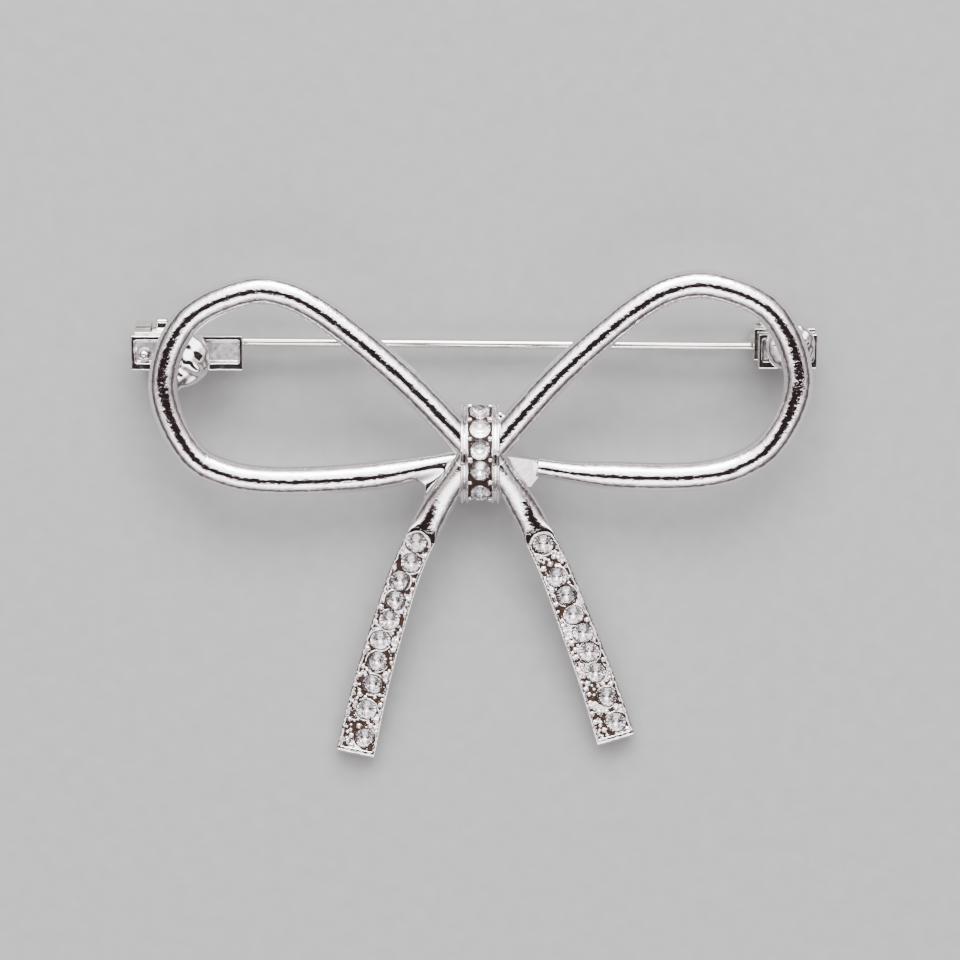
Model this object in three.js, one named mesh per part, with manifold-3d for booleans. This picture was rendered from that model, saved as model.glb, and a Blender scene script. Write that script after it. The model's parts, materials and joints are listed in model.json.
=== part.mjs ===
// A bow brooch: two wire loops and two stone-set tails soldered to a stone-set knot, with a
// sprung pin on the back that turns on a riveted hinge and locks in a rolling safety catch.
//
// Everything is built in the bow's own frame, in millimetres: X to the wearer's right as seen
// from the front, Y up the bow, Z out of its front. The knot is near the origin and the wire of
// the loops is centred on Z = 0. The last lines lay the brooch on its back on the plane Z = 0.
import * as THREE from "three";
import { mergeVertices } from "three/addons/utils/BufferGeometryUtils.js";
import Module from "manifold-3d";

const wasm = await Module();
wasm.setup();

// ---- clearances ----
const solderGap = 0.03; // between pieces that are soldered or glued together
const runningGap = 0.05; // between pieces that move on each other

// ---- bow wire ----
const wireWidth = 2.2; // across the wire, in the plane of the bow
const wireHeight = 1.9; // through the wire, front to back
const strandEndWidth = 1.5; // the lower strands narrow as they run in behind the tails
const strandEndHeight = 1.4;
const taperFrom = 0.88; // share of a loop's length after which its wire narrows
const taperTo = 0.98;
const loopReach = 24; // from the knot's middle to the wire's outermost point, sideways
const loopRise = 12.5; // the same to its highest point
// The wire's middle line. X is a share of loopReach, Y a share of loopRise, and Z in millimetres.
const leftLoopPath = [
  [-0.025, 0.024, 0.45], // upper strand, inside the knot
  [-0.252, 0.473, 0.3],
  [-0.504, 0.866, 0.05],
  [-0.61, 0.967, 0],
  [-0.713, 0.988, 0], // crown of the loop
  [-0.918, 0.807, 0],
  [-1.0, 0.4, 0], // outermost point
  [-0.908, -0.026, 0],
  [-0.8, -0.139, 0],
  [-0.667, -0.178, 0],
  [-0.354, -0.158, -0.25],
  [-0.167, -0.098, -0.55],
  [-0.033, -0.036, -0.65], // lower strand, inside the knot
];
const rightLoopPath = [
  [0.025, -0.008, 0.45],
  [0.254, 0.488, 0.3],
  [0.508, 0.906, 0.05],
  [0.61, 1.003, 0],
  [0.72, 1.022, 0],
  [0.914, 0.857, 0],
  [1.003, 0.432, 0],
  [0.926, 0.06, 0],
  [0.83, -0.08, 0],
  [0.7, -0.146, 0],
  [0.379, -0.145, -0.2],
  [0.181, -0.1, -0.45], // the lower strand stops short, and a flat web runs on to the tail
];

// ---- webs where a lower strand meets the tail in front of it ----
const webBack = -1.15;
const webFront = -0.05;
const webBite = 0.5; // how far the right web runs into its strand
const leftWebReach = 5.5;
const rightStrandEnd = rightLoopPath[rightLoopPath.length - 1][0] * loopReach;
const leftWeb = [
  [-leftWebReach, -1.2],
  [-leftWebReach, -1.8],
  [-4.25, -2.6],
  [-4.2, -3.6],
  [-3.0, -3.6],
  [-2.2, -1.2],
];
const rightWeb = [
  [1.2, -0.1],
  [2.5, -0.35],
  [rightStrandEnd + webBite, -0.8],
  [rightStrandEnd + webBite, -1.7],
  [rightStrandEnd - 0.4, -2.9],
  [2.6, -3.2],
  [1.2, -2.0],
];

// ---- tails ----
const tailNeckWidth = 2.0; // the plain round neck beside the knot
const tailNeckHeight = 1.5;
const tailTopWidth = 2.3; // the set bar at its first stone
const tailTipWidth = 3.1;
const tailHeight = 1.6;
const tailCorner = 0.3;
const tailFront = 0.85; // Z of the set bar's rails
const neckFront = 1.55; // Z of the neck's front where it enters the knot
const neckLength = 6.2; // along the tail, from inside the knot to the bar's full section
const railWidth = 0.3;
const channelDepth = 0.3;
const tailReach = 23.8; // from the knot's middle down to the end of the left tail's middle line
// The tails' middle lines, as shares of tailReach.
const leftTailPath = [
  [-0.013, 0.019],
  [-0.122, -0.153],
  [-0.224, -0.349],
  [-0.3, -0.576],
  [-0.36, -0.79],
  [-0.407, -1],
];
const rightTailPath = [
  [0.013, 0.021],
  [0.124, -0.153],
  [0.227, -0.349],
  [0.315, -0.576],
  [0.386, -0.769],
  [0.444, -0.953],
];

// ---- stones ----
const tailStone = 1.54; // diameter
const knotStone = 1.58;
const crownHeight = 0.28;
const girdleHeight = 0.08;
const pavilionDepth = 0.6;
const tableShare = 0.58; // table diameter over stone diameter
const stoneSides = 12;
const girdleAboveFloor = 0.1; // a stone's girdle over the floor of its channel
// Each tail's stones, hand set: distance up from the tail's tip, and offset to the right of its middle.
const leftSeats = [
  [1.46, 0.48], [3.74, 0.12], [5.81, 0.11], [7.7, -0.02], [9.38, -0.23],
  [11.09, -0.02], [12.7, -0.05], [14.32, -0.17], [15.93, 0.15], [17.54, -0.14],
];
const rightSeats = [
  [1.44, 0.38], [3.59, 0.3], [5.71, 0.11], [7.4, 0.19], [9.02, 0.26],
  [10.63, 0.06], [12.25, 0.09], [13.86, -0.1], [16.64, 0.01],
];

// ---- knot ----
const knotWidth = 3.0;
const knotRadius = 4.25; // of its barrelled front, to the top of its rails
const knotCentre = [-0.46, -2.15]; // Y and Z of the barrel's axis
const knotEnds = [-54, 77]; // degrees from straight ahead towards +Y, bottom and top
const knotBack = -1.35;
const knotRail = 0.42;
const knotStoneAngles = [-38.5, -9, 14.4, 37.7, 61];

// ---- pads, bases and the pin line ----
// Places along X are distances from the loop's wire where it crosses pinLineY, to the right.
const pinLineY = 7.6;
const padBack = -1.75;
const padCrown = -0.45; // Z of a pad's domed middle
const leftPad = { across: 0.85, y: 6.95, radius: 2.25, stretch: 1.0 };
const rightPad = { across: -0.1, y: 7.85, radius: 1.9, stretch: 1.06 }; // stretch is along X
const baseHeight = 0.8;
const baseDepth = 2.72; // along Y
const baseEndRim = 0.3;
const baseTopRim = 0.42;
const baseBottomRim = 0.65;
const baseRecess = 0.45;
const catchBase = { from: -3.05, to: 5.5, y: 7.3 };
const hingeBase = { from: -2.5, to: 2.0, y: 7.42 };
const catchY = 7.8; // of the pin where it lies in the catch
const stemY = 7.4; // of the pin where it leaves the hinge
const pinRadius = 0.35;
const pinTipPast = 2.25; // the point's distance beyond the wire
const pinTipLength = 3.2;

// ---- rolling catch ----
const catchSpan = [-2.85, 0.95];
const ringOuter = 1.6;
const ringWall = 0.53;
const ringWidth = 1.2;
const slotClearance = 0.15; // each side of the pin in the catch's mouth
const boreClearance = 0.25; // round the pin in the roller
const collarWall = 0.9;
const leverStandOff = 0.7; // how far the lever reaches beyond the collar
const leverThickness = 0.5;
const leverAngle = 30; // degrees from +Y towards +Z with the catch open
const catchFootWidth = 2.0;
const catchFootHeight = 0.24; // between the rings and the base

// ---- hinge ----
const rivetRadius = 0.3;
const rivetAcross = -1.87;
const rivetHeadRadius = 0.58;
const rivetHeadHeight = 0.2;
const coilTurns = 1.2;
const coilSteps = 24;
const cheekThickness = 0.4;
const bracketAcross = 1.9; // the bracket's far end
const bracketFloor = 0.4;
const cheekTailDrop = 1.5; // how far the cheeks reach back at the bracket's far end

// ---- finishes ----
const castMetal = () => new THREE.MeshStandardMaterial({ color: 0xd6d2d1, roughness: 0.12, metalness: 1 });
const findingMetal = () => new THREE.MeshStandardMaterial({ color: 0xd2cec4, roughness: 0.18, metalness: 1 });
const crystal = () => new THREE.MeshStandardMaterial({ color: 0xf2f2f6, roughness: 0.03, metalness: 0 });

// ---- derived places ----
const knotFlank = knotWidth / 2;
const baseFront = padBack - solderGap;
const baseBack = baseFront - baseHeight;
const footFront = baseBack - solderGap;
const pinZ = footFront - catchFootHeight - ringOuter;
const slotWidth = 2 * (pinRadius + slotClearance);
const ringInner = ringOuter - ringWall;
const rollerBore = pinRadius + boreClearance;
const collarRadius = rollerBore + collarWall;
const leverReach = collarRadius + leverStandOff;
const coilRadius = rivetRadius + runningGap + pinRadius; // of the wire's centre line
const cheekRadius = ringOuter - coilRadius; // so that hinge and catch stand equally deep
const rivetZ = pinZ - coilRadius;
const coilPitch = 2 * pinRadius + 0.02; // turns lie side by side
const coilReach = coilPitch * coilTurns; // how far the wire climbs along the rivet
const coilMiddleY = stemY + coilReach / 2;
const cheekGapHalf = coilReach / 2 + pinRadius + runningGap;

const leftWireX = outerWireX(leftLoopPath, pinLineY);
const rightWireX = outerWireX(rightLoopPath, pinLineY);
const catchX = catchSpan.map((across) => leftWireX + across);
const pinTipX = leftWireX - pinTipPast;
const rivetX = rightWireX + rivetAcross;
const bracketEnd = rightWireX + bracketAcross;

const rad = THREE.MathUtils.degToRad;
const xAxis = new THREE.Vector3(1, 0, 0);
const yAxis = new THREE.Vector3(0, 1, 0);
const zAxis = new THREE.Vector3(0, 0, 1);

// ---- solids: three.js geometry in and out of manifold-3d, for cuts and joins ----
function solid(geometry) {
  const bare = new THREE.BufferGeometry();
  bare.setAttribute("position", geometry.getAttribute("position"));
  bare.setIndex(geometry.index);
  const merged = mergeVertices(bare, 1e-4);
  return new wasm.Manifold(
    new wasm.Mesh({
      numProp: 3,
      vertProperties: new Float32Array(merged.getAttribute("position").array),
      triVerts: new Uint32Array(merged.index.array),
    }),
  );
}

function geometryOf(manifold) {
  const mesh = manifold.getMesh();
  const geometry = new THREE.BufferGeometry();
  geometry.setAttribute("position", new THREE.BufferAttribute(new Float32Array(mesh.vertProperties), 3));
  geometry.setIndex(new THREE.BufferAttribute(new Uint32Array(mesh.triVerts), 1));
  return geometry;
}

// A ring of points round a rounded rectangle, as [side, up] offsets, counter-clockwise.
function roundedRing(width, height, radius, perCorner = 3) {
  const corners = [[1, 1], [-1, 1], [-1, -1], [1, -1]];
  return corners.flatMap(([side, up], quarter) =>
    Array.from({ length: perCorner }, (_, k) => {
      const angle = rad(90 * (quarter + (k + 0.5) / perCorner));
      return [
        side * (width / 2 - radius) + radius * Math.cos(angle),
        up * (height / 2 - radius) + radius * Math.sin(angle),
      ];
    }),
  );
}

// A closed solid through rings of points: each station is { at, ring }, and up steers the rings.
function sweep(stations, up) {
  const count = stations[0].ring.length;
  const positions = [];
  stations.forEach(({ at, ring }, i) => {
    const before = stations[Math.max(i - 1, 0)].at;
    const after = stations[Math.min(i + 1, stations.length - 1)].at;
    const along = after.clone().sub(before).normalize();
    const side = up.clone().cross(along).normalize();
    const over = along.clone().cross(side);
    for (const [s, o] of ring) {
      const point = at.clone().addScaledVector(side, s).addScaledVector(over, o);
      positions.push(point.x, point.y, point.z);
    }
  });
  const index = [];
  for (let i = 0; i + 1 < stations.length; i++) {
    for (let j = 0; j < count; j++) {
      const a = i * count + j;
      const b = i * count + ((j + 1) % count);
      index.push(a, b, b + count, a, b + count, a + count);
    }
  }
  const last = (stations.length - 1) * count;
  for (let j = 1; j + 1 < count; j++) {
    index.push(0, j + 1, j);
    index.push(last, last + j, last + j + 1);
  }
  const geometry = new THREE.BufferGeometry();
  geometry.setAttribute("position", new THREE.Float32BufferAttribute(positions, 3));
  geometry.setIndex(index);
  return solid(geometry);
}

// A shape drawn in (Y, Z) and extruded along X, or drawn in (X, Z) and extruded along Y.
function extrudeAlongX(shape, from, to, curveSegments = 12) {
  const geometry = new THREE.ExtrudeGeometry(shape, { depth: to - from, bevelEnabled: false, curveSegments });
  geometry.applyMatrix4(new THREE.Matrix4().makeBasis(yAxis, zAxis, xAxis));
  return solid(geometry.translate(from, 0, 0));
}

function extrudeAlongY(shape, from, to, curveSegments = 12) {
  const geometry = new THREE.ExtrudeGeometry(shape, { depth: to - from, bevelEnabled: false, curveSegments });
  geometry.applyMatrix4(new THREE.Matrix4().makeBasis(xAxis, zAxis, yAxis.clone().negate()));
  return solid(geometry.translate(0, to, 0));
}

function extrudeAlongZ(points, from, to) {
  const shape = new THREE.Shape(points.map(([x, y]) => new THREE.Vector2(x, y)));
  const geometry = new THREE.ExtrudeGeometry(shape, { depth: to - from, bevelEnabled: false });
  return solid(geometry.translate(0, 0, from));
}

function block(x, y, z) {
  const geometry = new THREE.BoxGeometry(x[1] - x[0], y[1] - y[0], z[1] - z[0]);
  return solid(geometry.translate((x[0] + x[1]) / 2, (y[0] + y[1]) / 2, (z[0] + z[1]) / 2));
}

// ---- stones and their seats, both about their own +Z with the girdle at Z = 0 ----
function turned(profile) {
  const points = profile.map(([r, h]) => new THREE.Vector2(r, h));
  const geometry = new THREE.LatheGeometry(points, stoneSides);
  return geometry.rotateX(Math.PI / 2);
}

function stoneGeometry(diameter) {
  const r = diameter / 2;
  return turned([
    [0, -pavilionDepth],
    [r, -girdleHeight / 2],
    [r, girdleHeight / 2],
    [r * tableShare, crownHeight],
    [0, crownHeight],
  ]);
}

function seatGeometry(diameter) {
  const r = diameter / 2 + solderGap / 1.5;
  const open = 1;
  return turned([[0, -pavilionDepth - solderGap * 2], [r, -girdleHeight], [r, open], [0, open]]);
}

// ---- loops ----
function loopCurve(path) {
  const points = path.map(([x, y, z]) => new THREE.Vector3(x * loopReach, y * loopRise, z));
  return new THREE.CatmullRomCurve3(points, false, "centripetal");
}

// X of a loop's wire on its outer side, where it crosses the height y.
function outerWireX(path, y) {
  const points = loopCurve(path).getSpacedPoints(400);
  const near = points.filter((point) => Math.abs(point.y - y) < 0.1);
  return near.reduce((far, point) => (Math.abs(point.x) > Math.abs(far) ? point.x : far), 0);
}

function loopWire(path, grow = 0) {
  const curve = loopCurve(path);
  const steps = 48;
  const stations = curve.getSpacedPoints(steps).map((at, i) => {
    const narrowed = THREE.MathUtils.smoothstep(i / steps, taperFrom, taperTo);
    const width = THREE.MathUtils.lerp(wireWidth, strandEndWidth, narrowed) + 2 * grow;
    const height = THREE.MathUtils.lerp(wireHeight, strandEndHeight, narrowed) + 2 * grow;
    return { at, ring: roundedRing(width, height, height / 2) };
  });
  return sweep(stations, zAxis);
}

function loop(path, web, tail) {
  const reach = 6;
  const knotBlock = block(
    [-knotFlank - solderGap, knotFlank + solderGap],
    [-reach, reach],
    [-reach, reach],
  );
  return loopWire(path)
    .add(extrudeAlongZ(web, webBack, webFront))
    .subtract(tail)
    .subtract(knotBlock);
}

// ---- tails ----
function tailCurve(path) {
  const points = path.map(([x, y]) => new THREE.Vector3(x * tailReach, y * tailReach, 0));
  return new THREE.CatmullRomCurve3(points, false, "centripetal");
}

// Where the bar's section stands at a distance from the start of its curve.
function tailSection(distance, length) {
  const set = THREE.MathUtils.smoothstep(distance, neckLength * 0.45, neckLength);
  const spread = THREE.MathUtils.clamp((distance - neckLength) / (length - neckLength), 0, 1);
  const barWidth = THREE.MathUtils.lerp(tailTopWidth, tailTipWidth, spread);
  const fall = THREE.MathUtils.smoothstep(distance, neckLength * 0.2, neckLength);
  return {
    width: THREE.MathUtils.lerp(tailNeckWidth, barWidth, set),
    height: THREE.MathUtils.lerp(tailNeckHeight, tailHeight, set),
    front: THREE.MathUtils.lerp(neckFront, tailFront, fall),
    corner: THREE.MathUtils.lerp(tailNeckHeight / 2, tailCorner, set),
  };
}

function tailBar(path, grow = 0) {
  const curve = tailCurve(path);
  const length = curve.getLength();
  const steps = 24;
  const stations = curve.getSpacedPoints(steps).map((at, i) => {
    const { width, height, front, corner } = tailSection((length * i) / steps, length);
    const middle = new THREE.Vector3(at.x, at.y, front - height / 2);
    return { at: middle, ring: roundedRing(width + 2 * grow, height + 2 * grow, corner + grow) };
  });
  return sweep(stations, zAxis);
}

// The channel cut into the bar's front, between its rails, from above its top stone to its tip.
function tailChannel(path, topSeat) {
  const curve = tailCurve(path);
  const length = curve.getLength();
  const from = length - topSeat - tailStone / 2;
  const to = length - railWidth;
  const steps = 16;
  const above = 1;
  const stations = Array.from({ length: steps + 1 }, (_, i) => {
    const distance = THREE.MathUtils.lerp(from, to, i / steps);
    const { width, front } = tailSection(distance, length);
    const at = curve.getPointAt(distance / length);
    at.z = front - channelDepth + (channelDepth + above) / 2;
    const half = (width - 2 * railWidth) / 2;
    const rise = (channelDepth + above) / 2;
    return { at, ring: [[half, rise], [-half, rise], [-half, -rise], [half, -rise]] };
  });
  return sweep(stations, zAxis);
}

// The place of each stone: on the bar's middle line, moved across by its own offset.
function tailPlaces(path, seats) {
  const curve = tailCurve(path);
  const length = curve.getLength();
  return seats.map(([up, right]) => {
    const share = (length - up) / length;
    const at = curve.getPointAt(share);
    const along = curve.getTangentAt(share);
    const across = new THREE.Vector3(-along.y, along.x, 0);
    at.addScaledVector(across, right);
    at.z = tailSection(length - up, length).front - channelDepth + girdleAboveFloor;
    return new THREE.Matrix4().makeTranslation(at.x, at.y, at.z);
  });
}

function tail(path, seats, places) {
  const topSeat = seats[seats.length - 1][0];
  const reach = 6;
  const knotBlock = block(
    [-knotFlank - solderGap, knotFlank + solderGap],
    [-reach, reach],
    [-reach, reach],
  );
  let made = tailBar(path).subtract(tailChannel(path, topSeat)).subtract(knotBlock);
  for (const place of places) made = made.subtract(solid(seatGeometry(tailStone).applyMatrix4(place)));
  return made;
}

// ---- knot ----
function knotPoint(degrees, radius) {
  return [knotCentre[0] + radius * Math.sin(rad(degrees)), knotCentre[1] + radius * Math.cos(rad(degrees))];
}

function knotPlaces() {
  const radius = knotRadius - channelDepth + girdleAboveFloor;
  return knotStoneAngles.map((degrees) => {
    const [y, z] = knotPoint(degrees, radius);
    return new THREE.Matrix4().makeTranslation(0, y, z).multiply(new THREE.Matrix4().makeRotationX(-rad(degrees)));
  });
}

function knot(places) {
  const [bottom, top] = knotEnds;
  const barrel = new THREE.Shape();
  const [topY] = knotPoint(top, knotRadius);
  const [bottomY] = knotPoint(bottom, knotRadius);
  barrel.absarc(knotCentre[0], knotCentre[1], knotRadius, rad(90 - top), rad(90 - bottom), false);
  barrel.lineTo(bottomY + 0.25, -0.5);
  barrel.lineTo(bottomY + 0.9, knotBack);
  barrel.lineTo(topY - 0.35, knotBack);
  const floorRadius = knotRadius - channelDepth;
  const beyond = 6;
  const groove = new THREE.Shape();
  groove.absarc(knotCentre[0], knotCentre[1], floorRadius, rad(85 - top), rad(95 - bottom), false);
  groove.absarc(knotCentre[0], knotCentre[1], beyond, rad(95 - bottom), rad(85 - top), true);
  const half = knotFlank - knotRail;
  let made = extrudeAlongX(barrel, -knotFlank, knotFlank, 20).subtract(extrudeAlongX(groove, -half, half, 20));
  for (const place of places) made = made.subtract(solid(seatGeometry(knotStone).applyMatrix4(place)));
  return made;
}

// ---- pads and bases on the back of the loops ----
function pad({ across, y, radius, stretch }, wireX, wire) {
  const dome = padCrown - padBack;
  const profile = [[0, 0], [radius, 0], [radius, dome * 0.45], [radius * 0.8, dome * 0.8], [0, dome]];
  const points = profile.map(([r, h]) => new THREE.Vector2(r, h));
  const geometry = new THREE.LatheGeometry(points, 24).rotateX(Math.PI / 2);
  return solid(geometry.scale(stretch, 1, 1).translate(wireX + across, y, padBack)).subtract(wire);
}

function base({ from, to, y }, wireX) {
  const sides = [wireX + from, wireX + to];
  const ends = [y - baseDepth / 2, y + baseDepth / 2];
  const above = 1;
  const recess = block(
    [sides[0] + baseEndRim, sides[1] - baseEndRim],
    [ends[0] + baseBottomRim, ends[1] - baseTopRim],
    [baseFront - baseRecess, baseFront + above],
  );
  return block(sides, ends, [baseBack, baseFront]).subtract(recess);
}

// ---- rolling catch, drawn about the pin's axis with its mouth facing away from the bow ----
function openRing(outer, inner, mouth) {
  const outside = Math.asin(mouth / 2 / outer);
  const inside = Math.asin(mouth / 2 / inner);
  const ring = new THREE.Shape();
  ring.absarc(catchY, pinZ, outer, -Math.PI / 2 + outside, 1.5 * Math.PI - outside, false);
  ring.absarc(catchY, pinZ, inner, 1.5 * Math.PI - inside, -Math.PI / 2 + inside, true);
  return ring;
}

// Two open rings standing on one foot, with room between them for the roller's collar.
function catchBody() {
  const [from, to] = catchX;
  const width = [catchY - catchFootWidth / 2, catchY + catchFootWidth / 2];
  const collarClear = pinZ + collarRadius + runningGap;
  const bore = new THREE.Shape();
  bore.absarc(catchY, pinZ, ringInner, 0, 2 * Math.PI, false);
  let made = block([from, to], width, [collarClear, footFront]);
  for (const start of [from, to - ringWidth]) {
    const end = start + ringWidth;
    const leg = block([start, end], width, [pinZ + ringInner * 0.8, footFront]);
    made = made
      .add(leg.subtract(extrudeAlongX(bore, start - 1, end + 1, 16)))
      .add(extrudeAlongX(openRing(ringOuter, ringInner, slotWidth), start, end, 14));
  }
  return made;
}

function catchRoller() {
  const [from, to] = catchX;
  const collar = [from + ringWidth + runningGap, to - ringWidth - runningGap];
  const sleeve = extrudeAlongX(openRing(ringInner - runningGap, rollerBore, slotWidth), from, to, 12);
  const lever = new THREE.BoxGeometry(collar[1] - collar[0], leverReach - ringInner, leverThickness)
    .translate(0, (leverReach + ringInner) / 2, 0)
    .rotateX(rad(leverAngle))
    .translate((collar[0] + collar[1]) / 2, catchY, pinZ);
  return sleeve
    .add(extrudeAlongX(openRing(collarRadius, rollerBore, slotWidth), collar[0], collar[1], 14))
    .add(solid(lever));
}

// ---- hinge ----
function hingeBracket() {
  const left = rivetX - cheekRadius;
  const outerHalf = cheekGapHalf + cheekThickness;
  const tailZ = footFront - cheekTailDrop;
  const side = new THREE.Shape();
  side.moveTo(bracketEnd, footFront);
  side.lineTo(left, footFront);
  side.lineTo(left, rivetZ);
  side.absarc(rivetX, rivetZ, cheekRadius, Math.PI, 1.7 * Math.PI, false);
  side.lineTo(bracketEnd - 0.5, tailZ);
  side.lineTo(bracketEnd, tailZ + 0.5);
  const inside = block(
    [left - 1, bracketEnd + 1],
    [coilMiddleY - cheekGapHalf, coilMiddleY + cheekGapHalf],
    [rivetZ - 2 * cheekRadius, footFront - bracketFloor],
  );
  const hole = new THREE.Shape();
  hole.absarc(rivetX, rivetZ, rivetRadius + solderGap, 0, 2 * Math.PI, false);
  return extrudeAlongY(side, coilMiddleY - outerHalf, coilMiddleY + outerHalf, 10)
    .subtract(inside)
    .subtract(extrudeAlongY(hole, coilMiddleY - 2 * outerHalf, coilMiddleY + 2 * outerHalf, 8));
}

function hingeRivet() {
  const cheek = cheekGapHalf + cheekThickness + solderGap;
  const head = cheek + rivetHeadHeight;
  const half = [[rivetRadius, cheek], [rivetHeadRadius, cheek], [rivetHeadRadius * 0.7, head], [0, head]];
  const other = half.map(([r, h]) => [r, -h]).reverse();
  const points = [...other, ...half].map(([r, h]) => new THREE.Vector2(r, h));
  return solid(new THREE.LatheGeometry(points, 16).translate(rivetX, coilMiddleY, rivetZ));
}

// One wire: a ground point, a straight stem, and a coil round the rivet.
function pinStem() {
  const ring = (radius) => roundedRing(2 * radius, 2 * radius, radius, 2);
  const stemEnd = rivetX - 0.5;
  const straight = [
    [pinTipX, 0.05],
    [pinTipX + 0.6 * pinTipLength, 0.24],
    [pinTipX + pinTipLength, pinRadius],
    [pinTipX + 0.4 * (stemEnd - pinTipX), pinRadius],
    [pinTipX + 0.7 * (stemEnd - pinTipX), pinRadius],
    [stemEnd, pinRadius],
  ];
  const stations = straight.map(([x, radius]) => ({
    at: new THREE.Vector3(x, THREE.MathUtils.mapLinear(x, catchX[1], stemEnd, catchY, stemY), pinZ),
    ring: ring(radius),
  }));
  for (let i = 0; i <= coilSteps; i++) {
    const share = i / coilSteps;
    const turn = 2 * Math.PI * coilTurns * share;
    stations.push({
      at: new THREE.Vector3(
        rivetX + coilRadius * Math.sin(turn),
        stemY + coilReach * share,
        rivetZ + coilRadius * Math.cos(turn),
      ),
      ring: ring(pinRadius),
    });
  }
  return sweep(stations, yAxis);
}

// ---- assembly ----
const bow = new THREE.Group();

function place(name, manifold, material) {
  const mesh = new THREE.Mesh(geometryOf(manifold), material);
  mesh.name = name;
  bow.add(mesh);
  return mesh;
}

function placeStones(name, diameter, places) {
  places.forEach((matrix, i) => {
    const mesh = new THREE.Mesh(stoneGeometry(diameter), crystal());
    mesh.name = `${name}_${i + 1}`;
    mesh.applyMatrix4(matrix);
    bow.add(mesh);
  });
}

const leftPlaces = tailPlaces(leftTailPath, leftSeats);
const rightPlaces = tailPlaces(rightTailPath, rightSeats);
const knotStonePlaces = knotPlaces();

place("left_loop", loop(leftLoopPath, leftWeb, tailBar(leftTailPath, solderGap)), castMetal());
place("right_loop", loop(rightLoopPath, rightWeb, tailBar(rightTailPath, solderGap)), castMetal());
place("left_tail", tail(leftTailPath, leftSeats, leftPlaces), castMetal());
place("right_tail", tail(rightTailPath, rightSeats, rightPlaces), castMetal());
place("knot", knot(knotStonePlaces), castMetal());
placeStones("left_tail_stone", tailStone, leftPlaces);
placeStones("right_tail_stone", tailStone, rightPlaces);
placeStones("knot_stone", knotStone, knotStonePlaces);
place("left_pad", pad(leftPad, leftWireX, loopWire(leftLoopPath, solderGap)), castMetal());
place("right_pad", pad(rightPad, rightWireX, loopWire(rightLoopPath, solderGap)), castMetal());
place("catch_base", base(catchBase, leftWireX), castMetal());
place("hinge_base", base(hingeBase, rightWireX), castMetal());
place("catch_body", catchBody(), findingMetal());
place("catch_roller", catchRoller(), findingMetal());
place("hinge_bracket", hingeBracket(), findingMetal());
place("hinge_rivet", hingeRivet(), findingMetal());
place("pin_stem", pinStem(), findingMetal());

// ---- rest pose: on its back, standing on the catch, the hinge and the tail tips ----
const tipY = leftTailPath[leftTailPath.length - 1][1] * tailReach;
const tipZ = tailFront - tailHeight;
const run = catchY - tipY;
const drop = pinZ - tipZ;
bow.rotation.x = Math.asin(ringOuter / Math.hypot(run, drop)) - Math.atan2(drop, run);
bow.updateMatrixWorld(true);
const extent = new THREE.Box3().setFromObject(bow, true);
const middle = extent.getCenter(new THREE.Vector3());
bow.position.set(-middle.x, -middle.y, -extent.min.z);

const brooch = new THREE.Group();
brooch.add(bow);

export default brooch;
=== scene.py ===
"""Looks of a bow brooch: polished cast loops, knot and tails set with foiled crystals,
on pads and trays that carry a sprung pin and a rolling catch.

Shapes are drawn in the bow's own frame, in millimetres: X to the right, Y up the bow, Z out
of its front, with the wire's middle at Z = 0. TO_ROW puts them in the row frame, in metres.
"""

import json
import math

import bmesh
import bpy
import numpy as np
from mathutils import Matrix, Vector


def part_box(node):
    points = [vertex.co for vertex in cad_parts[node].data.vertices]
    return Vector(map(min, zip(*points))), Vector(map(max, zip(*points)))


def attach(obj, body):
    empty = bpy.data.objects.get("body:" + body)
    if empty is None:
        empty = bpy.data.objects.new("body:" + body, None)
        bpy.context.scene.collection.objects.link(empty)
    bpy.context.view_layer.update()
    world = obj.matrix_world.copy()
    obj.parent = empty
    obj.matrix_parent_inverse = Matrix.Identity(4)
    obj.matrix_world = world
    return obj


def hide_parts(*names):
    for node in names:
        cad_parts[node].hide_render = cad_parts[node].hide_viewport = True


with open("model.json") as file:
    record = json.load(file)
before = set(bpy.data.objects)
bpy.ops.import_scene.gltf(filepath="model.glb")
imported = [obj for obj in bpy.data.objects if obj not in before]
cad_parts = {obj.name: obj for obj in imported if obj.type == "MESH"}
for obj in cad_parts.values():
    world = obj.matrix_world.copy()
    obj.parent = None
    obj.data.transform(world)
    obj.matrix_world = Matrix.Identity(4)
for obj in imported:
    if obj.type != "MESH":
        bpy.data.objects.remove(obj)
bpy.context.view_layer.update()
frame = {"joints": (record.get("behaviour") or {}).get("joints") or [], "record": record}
record = frame["record"]
MM = 0.001

# ---- the bow's frame in the row
joints = {joint["name"]: joint for joint in frame["joints"]}
back = {mount["name"]: mount for mount in record["mounts"]}["left_tail_back"]["axis"]
TILT = math.atan2(back[1], -back[2])
CATCH_Y, PIN_Z = 7.8, -4.45
catch_point = [value / MM for value in joints["catch_turn"]["pos_m"]]
knot_low, knot_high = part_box("knot")
ORIGIN = Vector(
    (
        (knot_low.x + knot_high.x) / 2 / MM,
        catch_point[1] - (CATCH_Y * math.cos(TILT) - PIN_Z * math.sin(TILT)),
        catch_point[2] - (CATCH_Y * math.sin(TILT) + PIN_Z * math.cos(TILT)),
    )
)
TO_ROW = Matrix.Scale(MM, 4) @ Matrix.Translation(ORIGIN) @ Matrix.Rotation(TILT, 4, "X")


def side_x(node):
    """The lowest and highest X of a CAD node, in the bow's frame."""
    low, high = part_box(node)
    return low.x / MM - ORIGIN.x, high.x / MM - ORIGIN.x


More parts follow.
